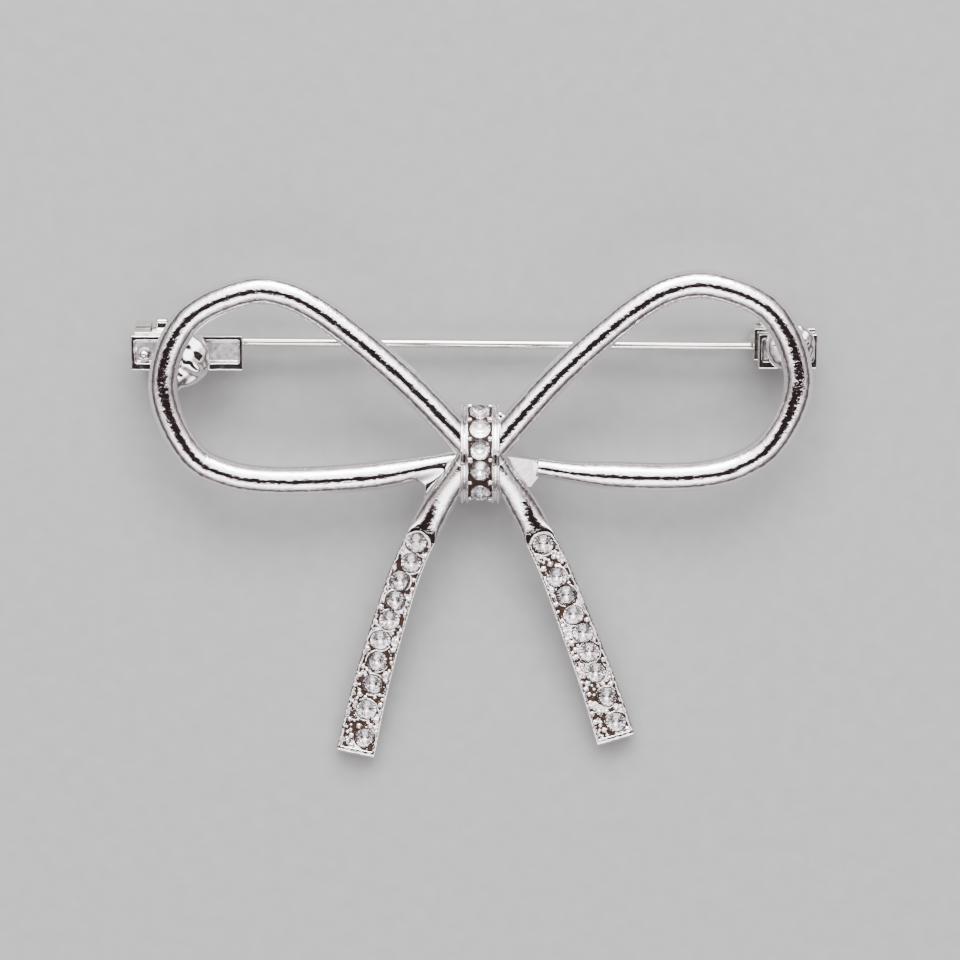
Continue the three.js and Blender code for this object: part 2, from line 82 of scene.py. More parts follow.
# ---- sizes, as the CAD has them
WIRE_WIDTH, WIRE_HEIGHT = 2.2, 1.9
STRAND_END_WIDTH, STRAND_END_HEIGHT = 1.5, 1.4
TAPER = (0.88, 0.98)
LOOP_REACH, LOOP_RISE = 24.0, 12.5
LEFT_LOOP = [
    (-0.025, 0.024, 0.45), (-0.252, 0.473, 0.3), (-0.504, 0.866, 0.05),
    (-0.61, 0.967, 0), (-0.713, 0.988, 0), (-0.918, 0.807, 0),
    (-1.0, 0.4, 0), (-0.908, -0.026, 0), (-0.8, -0.139, 0),
    (-0.667, -0.178, 0), (-0.354, -0.158, -0.25), (-0.167, -0.098, -0.55),
    (-0.033, -0.036, -0.65),
]
RIGHT_LOOP = [
    (0.025, -0.008, 0.45), (0.254, 0.488, 0.3), (0.508, 0.906, 0.05),
    (0.61, 1.003, 0), (0.72, 1.022, 0), (0.914, 0.857, 0),
    (1.003, 0.432, 0), (0.926, 0.06, 0), (0.83, -0.08, 0),
    (0.7, -0.146, 0), (0.379, -0.145, -0.2), (0.181, -0.1, -0.45),
]
WEB_BACK, WEB_FRONT = -1.15, -0.05
TAIL_REACH = 23.8
LEFT_TAIL = [
    (-0.013, 0.019), (-0.122, -0.153), (-0.224, -0.349), (-0.3, -0.576),
    (-0.36, -0.79), (-0.407, -1),
]
RIGHT_TAIL = [
    (0.013, 0.021), (0.124, -0.153), (0.227, -0.349), (0.315, -0.576),
    (0.386, -0.769), (0.444, -0.953),
]
NECK_WIDTH, NECK_HEIGHT = 2.0, 1.5
TAIL_TOP_WIDTH, TAIL_TIP_WIDTH, TAIL_HEIGHT = 2.3, 3.1, 1.6
TAIL_FRONT, NECK_FRONT, NECK_LENGTH = 0.85, 1.55, 6.2
CHANNEL_DEPTH = 0.3
TAIL_STONE, KNOT_STONE = 1.54, 1.58
CROWN, GIRDLE, PAVILION = 0.28, 0.08, 0.6
GIRDLE_ABOVE_FLOOR = 0.1
SEAT_CLEARANCE, CEMENT_CLEARANCE = 0.035, 0.004
LEFT_SEATS = [
    (1.46, 0.48), (3.74, 0.12), (5.81, 0.11), (7.7, -0.02),
    (9.38, -0.23), (11.09, -0.02), (12.7, -0.05), (14.32, -0.17),
    (15.93, 0.15), (17.54, -0.14),
]
RIGHT_SEATS = [
    (1.44, 0.38), (3.59, 0.3), (5.71, 0.11), (7.4, 0.19),
    (9.02, 0.26), (10.63, 0.06), (12.25, 0.09), (13.86, -0.1),
    (16.64, 0.01),
]
KNOT_FLANK, KNOT_RADIUS = 1.5, 4.25
KNOT_Y, KNOT_Z = -0.46, -2.15
KNOT_ENDS = (-54, 77)
KNOT_BACK = -1.35
KNOT_ANGLES = (-38.5, -9, 14.4, 37.7, 61)
PAD_BACK, PAD_CROWN = -1.75, -0.45
BASE_FRONT, BASE_BACK = -1.78, -2.58
FOOT_FRONT = -2.61
PIN_RADIUS = 0.35
RING_OUTER, RING_INNER, RING_WIDTH = 1.6, 1.07, 1.2
ROLLER_BORE, COLLAR_RADIUS, LEVER_REACH = 0.6, 1.5, 2.2
SLOT_WIDTH = 1.0
LEVER_ANGLE = 30
RUNNING_GAP = 0.05
RIVET_RADIUS, RIVET_HEAD = 0.3, 0.58
COIL_RADIUS, COIL_TURNS, COIL_PITCH = 0.7, 1.2, 0.72
CHEEK_RADIUS, CHEEK_THICKNESS = 0.9, 0.4
STEM_Y = 7.4
COIL_REACH = COIL_PITCH * COIL_TURNS
COIL_MIDDLE_Y = STEM_Y + COIL_REACH / 2
CHEEK_GAP_HALF = COIL_REACH / 2 + PIN_RADIUS + RUNNING_GAP
RIVET_Z = PIN_Z - COIL_RADIUS


# ---- curves
def catmull_rom(points, per_span=60):
    """Many points along the centripetal Catmull-Rom curve through the given ones."""
    p = np.array(points, float)
    p = np.vstack([2 * p[0] - p[1], p, 2 * p[-1] - p[-2]])
    t = np.linspace(0, 1, per_span, endpoint=False)[:, None]
    out = []
    for a, b, c, d in zip(p[:-3], p[1:-2], p[2:-1], p[3:]):
        d0, d1, d2 = (math.sqrt(np.linalg.norm(v)) for v in (b - a, c - b, d - c))
        t1 = ((b - a) / d0 - (c - a) / (d0 + d1) + (c - b) / d1) * d1
        t2 = ((c - b) / d1 - (d - b) / (d1 + d2) + (d - c) / d2) * d1
        out.append(b + t1 * t + (3 * (c - b) - 2 * t1 - t2) * t**2 + (2 * (b - c) + t1 + t2) * t**3)
    return np.vstack([*out, p[-2:-1]])


class Path:
    """A curve that is read by the distance along it."""

    def __init__(self, points):
        self.points = catmull_rom(points)
        steps = np.linalg.norm(np.diff(self.points, axis=0), axis=1)
        self.marks = np.concatenate([[0], np.cumsum(steps)])
        self.length = self.marks[-1]

    def at(self, distance):
        return np.stack([np.interp(distance, self.marks, axis) for axis in self.points.T], -1)

    def along(self, distance):
        ahead = self.at(np.minimum(np.asarray(distance) + 0.05, self.length))
        behind = self.at(np.maximum(np.asarray(distance) - 0.05, 0))
        direction = ahead - behind
        return direction / np.linalg.norm(direction, axis=-1, keepdims=True)


def smoothstep(x, low, high):
    t = np.clip((x - low) / (high - low), 0, 1)
    return t * t * (3 - 2 * t)


def loop_path(points):
    return Path([(x * LOOP_REACH, y * LOOP_RISE, z) for x, y, z in points])


def tail_path(points):
    return Path([(x * TAIL_REACH, y * TAIL_REACH, 0) for x, y in points])


def wire_section(share):
    """The wire's width and height at a share of a loop's length."""
    narrowed = smoothstep(share, *TAPER)
    return (
        WIRE_WIDTH + (STRAND_END_WIDTH - WIRE_WIDTH) * narrowed,
        WIRE_HEIGHT + (STRAND_END_HEIGHT - WIRE_HEIGHT) * narrowed,
    )


def tail_section(distance, length):
    """The tail's width, height and front at a distance from the start of its curve."""
    in_set = smoothstep(distance, NECK_LENGTH * 0.45, NECK_LENGTH)
    spread = np.clip((distance - NECK_LENGTH) / (length - NECK_LENGTH), 0, 1)
    bar = TAIL_TOP_WIDTH + (TAIL_TIP_WIDTH - TAIL_TOP_WIDTH) * spread
    fall = smoothstep(distance, NECK_LENGTH * 0.2, NECK_LENGTH)
    width = NECK_WIDTH + (bar - NECK_WIDTH) * in_set
    height = NECK_HEIGHT + (TAIL_HEIGHT - NECK_HEIGHT) * in_set
    return width, height, NECK_FRONT + (TAIL_FRONT - NECK_FRONT) * fall


# ---- distance fields
def smooth_min(a, b, k):
    h = np.maximum(k - np.abs(a - b), 0) / k
    return np.minimum(a, b) - h * h * k / 4


def smooth_max(a, b, k):
    return -smooth_min(-a, -b, k)


def rounded_box(p, low, high, radius):
    middle = (np.array(low) + np.array(high)) / 2
    half = (np.array(high) - np.array(low)) / 2 - radius
    q = np.abs(p - middle) - half
    return np.linalg.norm(np.maximum(q, 0), axis=1) + np.minimum(q.max(1), 0) - radius


def polygon(x, y, corners):
    """Signed distance in the plane to a closed polygon."""
    corners = np.array(corners, float)
    nearest = np.full(x.shape, 1e9)
    sign = np.ones(x.shape)
    for (ax, ay), (bx, by) in zip(corners, np.roll(corners, -1, axis=0)):
        ex, ey = bx - ax, by - ay
        wx, wy = x - ax, y - ay
        t = np.clip((wx * ex + wy * ey) / (ex * ex + ey * ey), 0, 1)
        nearest = np.minimum(nearest, (wx - ex * t) ** 2 + (wy - ey * t) ** 2)
        above, below, left = y >= ay, y < by, ex * wy > ey * wx
        flip = (above & below & left) | (~above & ~below & ~left)
        sign = np.where(flip, -sign, sign)
    return sign * np.sqrt(nearest)


def extruded(flat, height, low, high, radius):
    """A flat signed distance given thickness from low to high, with its edges rounded."""
    w = np.abs(height - (low + high) / 2) - (high - low) / 2 + radius
    flat = flat + radius
    outside = np.hypot(np.maximum(flat, 0), np.maximum(w, 0))
    return outside + np.minimum(np.maximum(flat, w), 0) - radius


def field_values(field, low, step, count, block=6):
    """The field on a grid; far from its surface only one value for each block of points."""
    blocks = [-(-n // block) for n in count]
    corner = np.stack(np.meshgrid(*[np.arange(n) for n in blocks], indexing="ij"), -1).reshape(-1, 3)
    middle = low + (corner * block + (block - 1) / 2) * step
    coarse = field(middle)
    values = np.repeat(np.repeat(np.repeat(coarse.reshape(blocks), block, 0), block, 1), block, 2)
    reach = block * step * 0.87 * 1.5 + step
    near = corner[np.abs(coarse) < reach]
    inner = np.stack(np.meshgrid(*[np.arange(block)] * 3, indexing="ij"), -1).reshape(-1, 3)
    for part in np.array_split(near, max(1, len(near) * block**3 // 400000)):
        index = (part[:, None, :] * block + inner[None]).reshape(-1, 3)
        values[tuple(index.T)] = field(low + index * step)
    return values


def largest_part(vertices, quads):
    """Drops the small crumbs that a field can leave beside its main surface."""
    label = np.arange(len(vertices))
    while True:
        low = label[quads].min(1)
        spread = label.copy()
        for corner in quads.T:
            np.minimum.at(spread, corner, low)
        spread = spread[spread]
        if (spread == label).all():
            break
        label = spread
    kept = label == np.bincount(label).argmax()
    number = np.cumsum(kept) - 1
    return vertices[kept], number[quads[kept[quads[:, 0]]]]


def field_mesh(field, low, high, step, settle=2):
    """Vertices and quads of the surface where the field is zero, by surface nets."""
    low = np.array(low, float)
    count = [int(math.ceil((h - l) / step)) + 2 for l, h in zip(low, high)]
    values = field_values(field, low, step, count)
    inside = values < 0
    corners = [(i, j, k) for i in (0, 1) for j in (0, 1) for k in (0, 1)]
    total = sum(
        inside[i : i - 1 or None, j : j - 1 or None, k : k - 1 or None].astype(np.int8)
        for i, j, k in corners
    )
    cells = np.argwhere((total > 0) & (total < 8))
    ids = np.full(total.shape, -1, np.int64)
    ids[tuple(cells.T)] = np.arange(len(cells))
    at = [values[tuple((cells + c).T)] for c in corners]
    place, hits = np.zeros((len(cells), 3)), np.zeros(len(cells))
    for a, ca in enumerate(corners):
        for b, cb in enumerate(corners):
            if a < b and sum(x != y for x, y in zip(ca, cb)) == 1:
                crosses = (at[a] < 0) != (at[b] < 0)
                share = at[a] / np.where(crosses, at[a] - at[b], 1)
                point = np.array(ca) + share[:, None] * (np.array(cb) - np.array(ca))
                place += np.where(crosses[:, None], point, 0)
                hits += crosses
    vertices = low + (cells + place / hits[:, None]) * step
    quads = []
    for axis in range(3):
        a, b = [k for k in range(3) if k != axis]
        ahead = np.roll(inside, -1, axis)
        edge = np.argwhere(inside != ahead)
        edge = edge[(edge[:, axis] < inside.shape[axis] - 1) & (edge[:, a] > 0) & (edge[:, b] > 0)]
        limit = np.array(ids.shape)
        edge = edge[(edge < limit).all(1)]
        step_a, step_b = np.eye(3, dtype=int)[a], np.eye(3, dtype=int)[b]
        quad = np.stack(
            [ids[tuple((edge - shift).T)] for shift in (step_a * 0, step_a, step_a + step_b, step_b)], 1
        )
        outward = inside[tuple(edge.T)] ^ (axis == 1)
        quads.append(np.where(outward[:, None], quad, quad[:, ::-1]))
    vertices, quads = largest_part(vertices, np.vstack(quads))
    nudge = step * 0.2
    for _ in range(settle):
        here = field(vertices)
        slope = np.stack([field(vertices + nudge * e) - here for e in np.eye(3)], 1) / nudge
        move = slope * (here / np.maximum((slope**2).sum(1), 0.25))[:, None]
        far = np.linalg.norm(move, axis=1, keepdims=True)
        vertices -= move * np.minimum(1, 0.6 * step / np.maximum(far, 1e-9))
    return vertices, quads


# ---- making pieces
def place_points(points, matrix=TO_ROW):
    m = np.array(matrix, float)
    return np.asarray(points, float) @ m[:3, :3].T + m[:3, 3]


def add_object(name, data):
    made = bpy.data.objects.new(name, data)
    bpy.context.scene.collection.objects.link(made)
    return made


def make_mesh(name, vertices, faces):
    """A smooth mesh object from points in the bow's frame."""
    mesh = bpy.data.meshes.new(name)
    faces = np.asarray(faces)
    mesh.vertices.add(len(vertices))
    mesh.vertices.foreach_set("co", place_points(vertices).astype(np.float32).ravel())
    mesh.loops.add(faces.size)
    mesh.loops.foreach_set("vertex_index", faces.astype(np.int32).ravel())
    mesh.polygons.add(len(faces))
    mesh.polygons.foreach_set("loop_start", np.arange(0, faces.size, faces.shape[1], dtype=np.int32))
    mesh.polygons.foreach_set("use_smooth", np.full(len(faces), True))
    mesh.update(calc_edges=True)
    mesh.validate()
    return add_object(name, mesh)


def settle_piece(piece, node, body="bow"):
    """Hides the CAD node a piece stands for, and hangs the piece on the body it rides on."""
    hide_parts(node)
    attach(piece, body)
    return piece


UP = np.array([0, 0, 1.0])


def side_and_over(along, up):
    """Unit vectors to the side of a path and over it."""
    side = np.cross(up, along)
    side /= np.linalg.norm(side, axis=1, keepdims=True)
    return side, np.cross(along, side)


def sweep_points(centres, along, up, rings):
    """Rings of points round a path: each ring is (across, over) offsets."""
    side, over = side_and_over(along, up)
    return centres[:, None] + rings[..., :1] * side[:, None] + rings[..., 1:] * over[:, None]


def tube_faces(stations, count):
    i, j = np.meshgrid(np.arange(stations - 1), np.arange(count), indexing="ij")
    a = i * count + j
    b = i * count + (j + 1) % count
    return np.stack([a, b, b + count, a + count], -1).reshape(-1, 4)


def tube_piece(name, centres, along, up, rings):
    """A swept tube with its ends closed by a fan round a middle point."""
    stations, count = rings.shape[:2]
    points = sweep_points(centres, along, up, rings).reshape(-1, 3)
    points = np.vstack([points, centres[:1], centres[-1:]])
    first, last, tip = stations * count, stations * count + 1, (stations - 1) * count
    here = np.arange(count)
    after = (here + 1) % count
    start = np.stack([np.full(count, first), after, here], 1)
    end = np.stack([np.full(count, last), tip + here, tip + after], 1)
    faces = tube_faces(stations, count).tolist() + start.tolist() + end.tolist()
    mesh = bpy.data.meshes.new(name)
    mesh.from_pydata(place_points(points).tolist(), [], faces)
    mesh.polygons.foreach_set("use_smooth", np.full(len(mesh.polygons), True))
    mesh.validate()
    return add_object(name, mesh)


def ellipse_ring(width, height, count):
    turn = np.linspace(0, 2 * np.pi, count, endpoint=False)
    return np.stack(
        [np.outer(width / 2, np.cos(turn)), np.outer(height / 2, np.sin(turn))], -1
    )


# ---- materials
def noise(tree, scale, detail=2.0, rough=0.5):
    """A noise in object space; scale is in features for each millimetre."""
    coordinates = tree.nodes.new("ShaderNodeTexCoord")
    made = tree.nodes.new("ShaderNodeTexNoise")
    for socket, value in (("Scale", scale / MM), ("Detail", detail), ("Roughness", rough)):
        made.inputs[socket].default_value = value
    tree.links.new(coordinates.outputs["Object"], made.inputs["Vector"])
    return made.outputs["Fac"]


def ramp(tree, source, stops):
    """Colours along a pattern; a stop with a plain number is grey."""
    made = tree.nodes.new("ShaderNodeValToRGB")
    band = made.color_ramp
    while len(band.elements) < len(stops):
        band.elements.new(0.5)
    for element, (at, colour) in zip(band.elements, stops):
        element.position = at
        element.color = (*colour, 1) if isinstance(colour, tuple) else (colour, colour, colour, 1)
    tree.links.new(source, made.inputs["Fac"])
    return made.outputs["Color"]


def bump(tree, source, depth, below=None):
    """Raises the surface by a pattern; depth is in millimetres."""
    made = tree.nodes.new("ShaderNodeBump")
    made.inputs["Distance"].default_value = depth * MM
    made.inputs["Strength"].default_value = 1.0
    tree.links.new(source, made.inputs["Height"])
    if below is not None:
        tree.links.new(below, made.inputs["Normal"])
    return made.outputs["Normal"]


def patterned(name, settings, grain, tint, gloss=(), smear=()):
    """A material with a drift of colour, and of gloss over the same pattern or one of its own."""
    made = bpy.data.materials.new(name)
    made.use_nodes = True
    tree = made.node_tree
    inputs = tree.nodes["Principled BSDF"].inputs
    for socket, value in settings.items():
        inputs[socket].default_value = value
    pattern = noise(tree, *grain)
    tree.links.new(ramp(tree, pattern, tint), inputs["Base Color"])
    if gloss:
        over = noise(tree, *smear) if smear else pattern
        tree.links.new(ramp(tree, over, gloss), inputs["Roughness"])
    return made, tree, inputs


def plated_metal(name, light, dark, gloss, peel, pits):
    """Polished plate: a faint colour drift, an uneven gloss, soft orange peel and fine pits."""
    tint, uneven = [(0.3, dark), (0.7, light)], list(zip((0.35, 0.75), gloss))
    made, tree, inputs = patterned(
        name, {"Metallic": 1.0}, (0.35, 3), tint, uneven, (3.5, 4, 0.6)
    )
    soft = bump(tree, noise(tree, 1.1, 2), peel)
    tree.links.new(bump(tree, noise(tree, 2.8, 3, 0.62), pits, soft), inputs["Normal"])
    return made


# The pinkish tint in this plate's colours is painted: it stands in for the pinkish studio light that
# the metal reflects.
CAST = plated_metal(
    "cast_plate", (0.87, 0.84, 0.84), (0.78, 0.735, 0.74), (0.03, 0.1), 0.03, 0.032
)
# The pinkish tint in these colours is painted too, standing in for the pinkish studio light.
FACET = plated_metal(
    "cast_facet", (0.86, 0.83, 0.83), (0.78, 0.74, 0.74), (0.06, 0.16), 0.02, 0.006
)
RAW = plated_metal("cast_raw", (0.6, 0.58, 0.6), (0.42, 0.4, 0.42), (0.3, 0.5), 0.02, 0.012)
FINDING = plated_metal(
    "finding_plate", (0.84, 0.82, 0.78), (0.72, 0.69, 0.64), (0.08, 0.2), 0.012, 0.008
)
WIRE = plated_metal("pin_wire", (0.86, 0.84, 0.8), (0.79, 0.77, 0.72), (0.1, 0.2), 0.006, 0.004)


GLASS = patterned(
    "crystal",
    {"Transmission Weight": 1.0, "IOR": 1.56},
    (1.5, 2),
    [(0.3, (0.95, 0.94, 0.97)), (0.7, (1.0, 0.985, 0.99))],
    [(0.4, 0.0), (0.9, 0.03)],
    (4.0, 2),
)[0]
FOIL = patterned(
    "crystal_foil",
    {"Metallic": 1.0},
    (5.0, 4, 0.6),
    [(0.25, (0.74, 0.66, 0.66)), (0.45, (0.93, 0.9, 0.92)), (0.8, (0.99, 0.97, 0.99))],
    [(0.3, 0.24), (0.6, 0.08)],
)[0]
GLUE, glue_tree, glue_inputs = patterned(
    "glue",
    {"Specular IOR Level": 0.15},
    (3.0, 4, 0.6),
    [(0.3, (0.008, 0.004, 0.0025)), (0.55, (0.022, 0.010, 0.006)), (0.8, (0.05, 0.024, 0.014))],
    [(0.3, 0.35), (0.8, 0.6)],
)
glue_tree.links.new(bump(glue_tree, noise(glue_tree, 5.0, 3), 0.03), glue_inputs["Normal"])


# ---- loops
def loop_piece(name, node, points):
    path = loop_path(points)
    steps = 420
    count = 72
    distance = np.linspace(0, path.length, steps)
    width, height = wire_section(distance / path.length)
    centres, along = path.at(distance), path.along(distance)
    piece = tube_piece(name, centres, along, UP, ellipse_ring(width, height, count))
    piece.data.materials.append(CAST)
    settle_piece(piece, node)


loop_piece("left_loop_wire", "left_loop", LEFT_LOOP)
loop_piece("right_loop_wire", "right_loop", RIGHT_LOOP)


def field_piece(name, field, box, step, finish, node, body="bow", mapping=None):
    """A piece whose surface is the zero of a field, inside a box of (low, high) corners."""
    vertices, faces = field_mesh(field, *box, step)
    if mapping is not None:
        vertices = mapping(vertices)
    piece = make_mesh(name, vertices, faces)
    piece.data.materials.append(finish)
    return settle_piece(piece, node, body)


# ---- stones
STONE_TIP = 0.025  # how far a stone is out of true, in radians


def girdle_at(front):
    """The height of a stone's girdle in a channel cut from this front."""
    return front - CHANNEL_DEPTH + GIRDLE_ABOVE_FLOOR


def stone_hollow(across, height, radius):
    """Signed distance to a stone and the space above it, from its axis and its girdle."""
    depth = PAVILION - GIRDLE / 2
    cone = -height - GIRDLE / 2 - depth * (1 - across / radius)
    return np.maximum(across - radius, cone / math.hypot(1, depth / radius))


def brilliant(radius, turn):
    """A round brilliant about +Z with its girdle at Z = 0: vertices, faces, first pavilion face."""

    def ring(count, r, z, shift):
        angle = turn + (np.arange(count) + shift) * 2 * np.pi / count
        return np.stack([r * np.cos(angle), r * np.sin(angle), np.full(count, z)], 1)

    table = ring(8, radius * 0.6, CROWN, 0)
    star = ring(8, radius * 0.8, CROWN * 0.62, 0.5)
    top = ring(16, radius, GIRDLE / 2, 0)
    low = ring(16, radius, -GIRDLE / 2, 0)
    waist = ring(8, radius * 0.3, -PAVILION * 0.72, 0.5)
    culet = np.array([[0, 0, -PAVILION]])
    points = np.vstack([table, star, top, low, waist, culet])
    a, b, c, d, e, f = 0, 8, 16, 32, 48, 56
    faces = [list(range(8))]
    for k in range(8):
        after, before = (k + 1) % 8, (k - 1) % 8
        right, left = c + 2 * k + 1, c + (2 * k - 1) % 16
        faces.append([a + k, b + k, a + after])
        faces.append([a + k, b + before, c + 2 * k, b + k])
        faces.append([b + k, c + 2 * k, right])
        faces.append([b + before, left, c + 2 * k])
    for k in range(16):
        faces.append([c + k, d + k, d + (k + 1) % 16, c + (k + 1) % 16])
    crown_faces = len(faces)
    for k in range(8):
        before = (k - 1) % 8
        right, left = d + 2 * k + 1, d + (2 * k - 1) % 16
        faces.append([d + 2 * k, e + k, right])
        faces.append([d + 2 * k, left, e + before])
        faces.append([d + 2 * k, e + before, f, e + k])
    return points, faces, crown_faces


def stone_piece(node, matrix, radius, seed):
    """One crystal at its CAD place, turned and tipped a little."""
    random = np.random.default_rng(seed)
    points, faces, crown_faces = brilliant(radius, random.uniform(0, 0.8))
    nod, lean = random.normal(0, STONE_TIP), random.normal(0, STONE_TIP)
    tip = Matrix.Rotation(nod, 4, "X") @ Matrix.Rotation(lean, 4, "Y")
    mesh = bpy.data.meshes.new(node + "_cut")
    mesh.from_pydata(place_points(points, TO_ROW @ matrix @ tip).tolist(), [], faces)
    mesh.materials.append(GLASS)
    mesh.materials.append(FOIL)
    for face in mesh.polygons[crown_faces:]:
        face.material_index = 1
    settle_piece(add_object(node + "_cut", mesh), node)


# ---- tails
RAIL_WIDTH, END_RIM = 0.27, 0.56
SEAT_RING = 0.16
HEIGHT_STEP = 0.02
BEAD_TRIES, BEAD_LOW, BEAD_HIGH = 900, 0.13, 0.27


class Relief:
    """Heights on a fine grid of (along, across), read between its points."""

    def __init__(self, long, wide):
        self.low = np.array([0, -wide])
        count = [int(long / HEIGHT_STEP) + 2, int(2 * wide / HEIGHT_STEP) + 2]
        self.u, self.v = np.meshgrid(
            np.arange(count[0]) * HEIGHT_STEP, np.arange(count[1]) * HEIGHT_STEP - wide, indexing="ij"
        )
        self.height = np.zeros(count)

    def raise_to(self, u, v, reach, shape):
        """Lifts the ground round a point to what shape(distance, angle) gives, where that is higher."""
        i, j = (int(x) for x in (np.array([u, v]) - self.low) / HEIGHT_STEP)
        n = int(reach / HEIGHT_STEP) + 2
        part = (slice(max(i - n, 0), i + n), slice(max(j - n, 0), j + n))
        du, dv = self.u[part] - u, self.v[part] - v
        self.height[part] = np.maximum(self.height[part], shape(np.hypot(du, dv), np.arctan2(dv, du)))

    def read(self, u, v):
        i = np.clip(u / HEIGHT_STEP, 0, self.height.shape[0] - 2)
        j = np.clip((v - self.low[1]) / HEIGHT_STEP, 0, self.height.shape[1] - 2)
        a, b = i.astype(int), j.astype(int)
        s, t = i - a, j - b
        h = self.height
        near = h[a, b] * (1 - t) + h[a, b + 1] * t
        return near * (1 - s) + (h[a + 1, b] * (1 - t) + h[a + 1, b + 1] * t) * s


def bead(height, radius):
    return lambda d, angle: height * np.sqrt(np.maximum(1 - (d / radius) ** 2, 0))


def seat_ring(radius, height, turn):
    def shape(d, angle):
        across = np.abs(d - radius - SEAT_RING * 0.62) / (SEAT_RING * 0.45)
        uneven = 0.62 + 0.38 * np.sin(2 * angle + turn) + 0.12 * np.sin(7 * angle + 3 * turn)
        return height * uneven * np.sqrt(np.maximum(1 - across**2, 0))

    return shape


class Tail:
    def __init__(self, side, points, seats, seed):
        self.side = side
        self.path = tail_path(points)
        self.length = self.path.length
        self.stones = [(self.length - up, right) for up, right in seats]
        self.top = self.stones[-1][0]
        self.start = float(np.interp(1.2, np.abs(self.path.points[:, 0]), self.path.marks))
        self.random = np.random.default_rng(seed)
        self.waves = self.random.uniform(0, 6.3, 6)
        self.relief = self.cast_ground()

    def section(self, u):
        return tail_section(u, self.length)

    def half_channel(self, u, v):
        """Half the channel's width: the rails waver as hand-finished casting does."""
        width = self.section(u)[0]
        w = np.where(v > 0, self.waves[0], self.waves[1])
        waver = 0.03 * np.sin(2.1 * u + w) + 0.025 * np.sin(5.3 * u + 2 * w)
        waver += 0.015 * np.sin(11.7 * u + 3 * w)
        return width / 2 - RAIL_WIDTH + waver

    def cast_ground(self):
        """Beads and worn seat rims between the stones."""
        relief = Relief(self.length, 2.0)
        rough = sum(
            np.sin(relief.u * k + self.waves[i]) * np.sin(relief.v * (k + 3) + self.waves[i + 2])
            for i, k in enumerate((7, 13, 23, 31))
        )
        relief.height = 0.035 * rough
        radius = TAIL_STONE / 2
        placed = []
        for _ in range(BEAD_TRIES):
            u = self.random.uniform(self.top - radius, self.length - END_RIM)
            v = self.random.uniform(-1.4, 1.4)
            r = self.random.uniform(BEAD_LOW, BEAD_HIGH)
            height = self.random.uniform(0.7, 1.0) * r + 0.05
            clear = min(math.hypot(u - a, v - b) for a, b in self.stones) - radius
            apart = min([math.hypot(u - a, v - b) - 0.8 * (r + c) for a, b, c in placed], default=1)
            if clear > 0.1 + 0.7 * r and apart > 0 and abs(v) < self.half_channel(u, v) + 0.05:
                placed.append((u, v, r))
                relief.raise_to(u, v, r, bead(height, r))
        for u, v in self.stones:
            turn = self.random.uniform(0, 6.3)
            rim = seat_ring(radius, self.random.uniform(0.12, 0.22), turn)
            relief.raise_to(u, v, radius + SEAT_RING, rim)
        return relief

    def stone_gap(self, u, v):
        """Distance from the axis of the nearest stone."""
        return np.min([np.hypot(u - a, v - b) for a, b in self.stones], axis=0)

    def bar(self, u, v, z):
        """The plain bar before its channel is cut."""
        width, height, front = self.section(u)
        w = z - (front - height / 2)
        squared = smoothstep(u, self.top - 2.2, self.top - 0.5)
        corner = np.where(w > 0, 0.14, 0.3)
        corner = NECK_HEIGHT * 0.49 * (1 - squared) + corner * squared
        qx = np.abs(v) - width / 2 + corner
        qz = np.abs(w) - height / 2 + corner
        d = np.hypot(np.maximum(qx, 0), np.maximum(qz, 0)) + np.minimum(np.maximum(qx, qz), 0) - corner
        oval = (np.hypot(2 * v / width, 2 * w / height) - 1) * height / 2
        d = oval * (1 - squared) + d * squared
        return smooth_max(d, u - self.length, 0.34)

    def field(self, p):
        u, v, z = p.T
        front = self.section(u)[2]
        half = self.half_channel(u, v)
        neck = np.where(u < self.top, np.hypot(u - self.top, v) - half, -1)
        walls = smooth_max(np.maximum(np.abs(v) - half, neck), u - self.length + END_RIM, 0.12)
        floor = front - CHANNEL_DEPTH - 0.02 + self.relief.read(u, v)
        channel = smooth_max(walls, floor - z, 0.04)
        near = self.stone_gap(u, v)
        well = stone_hollow(near, z - girdle_at(front), TAIL_STONE / 2 + SEAT_CLEARANCE)
        body = smooth_max(self.bar(u, v, z), -channel, 0.1)
        body = np.maximum(body, -well)
        return np.maximum(body, self.start - u)

    def glue(self, p):
        """Dark cement round each stone, a little uneven."""
        u, v, z = p.T
        girdle = girdle_at(self.section(u)[2])
        near = self.stone_gap(u, v)
        uneven = 0.03 * np.sin(5 * u + self.waves[3]) * np.sin(6 * v) + 0.02 * np.sin(13 * u - 9 * v)
        rim = near - TAIL_STONE / 2 - 0.12 - uneven
        top = z - girdle + 0.015 + 0.25 * np.maximum(near - TAIL_STONE / 2, 0) - uneven
        ring = smooth_max(smooth_max(rim, top, 0.05), girdle - 0.3 - z, 0.05)
        swirl = 1.3 * np.sin(1.1 * v + self.waves[5])
        stain = np.sin(1.9 * u + self.waves[4] + swirl) * np.cos(2.1 * v + self.waves[0])
        bed = np.abs(z - girdle + GIRDLE_ABOVE_FLOOR) - 0.03 - 0.05 * stain - 0.6 * uneven
        bed = np.maximum(bed, np.maximum(self.top - u, u - self.length + END_RIM))
        ring = smooth_min(ring, bed, 0.08)
        inside = stone_hollow(near, z - girdle, TAIL_STONE / 2 + CEMENT_CLEARANCE)
        walls = np.abs(v) - self.half_channel(u, v) - 0.03
        return np.maximum(np.maximum(ring, walls), -inside)

    def lay(self, p):
        """From along, across and up, to the bow's frame."""
        centre, along = self.path.at(p[:, 0]), self.path.along(p[:, 0])
        across = np.stack([-along[:, 1], along[:, 0]], 1)
        flat = centre[:, :2] + across * p[:, 1:2]
        return np.column_stack([flat, p[:, 2]])

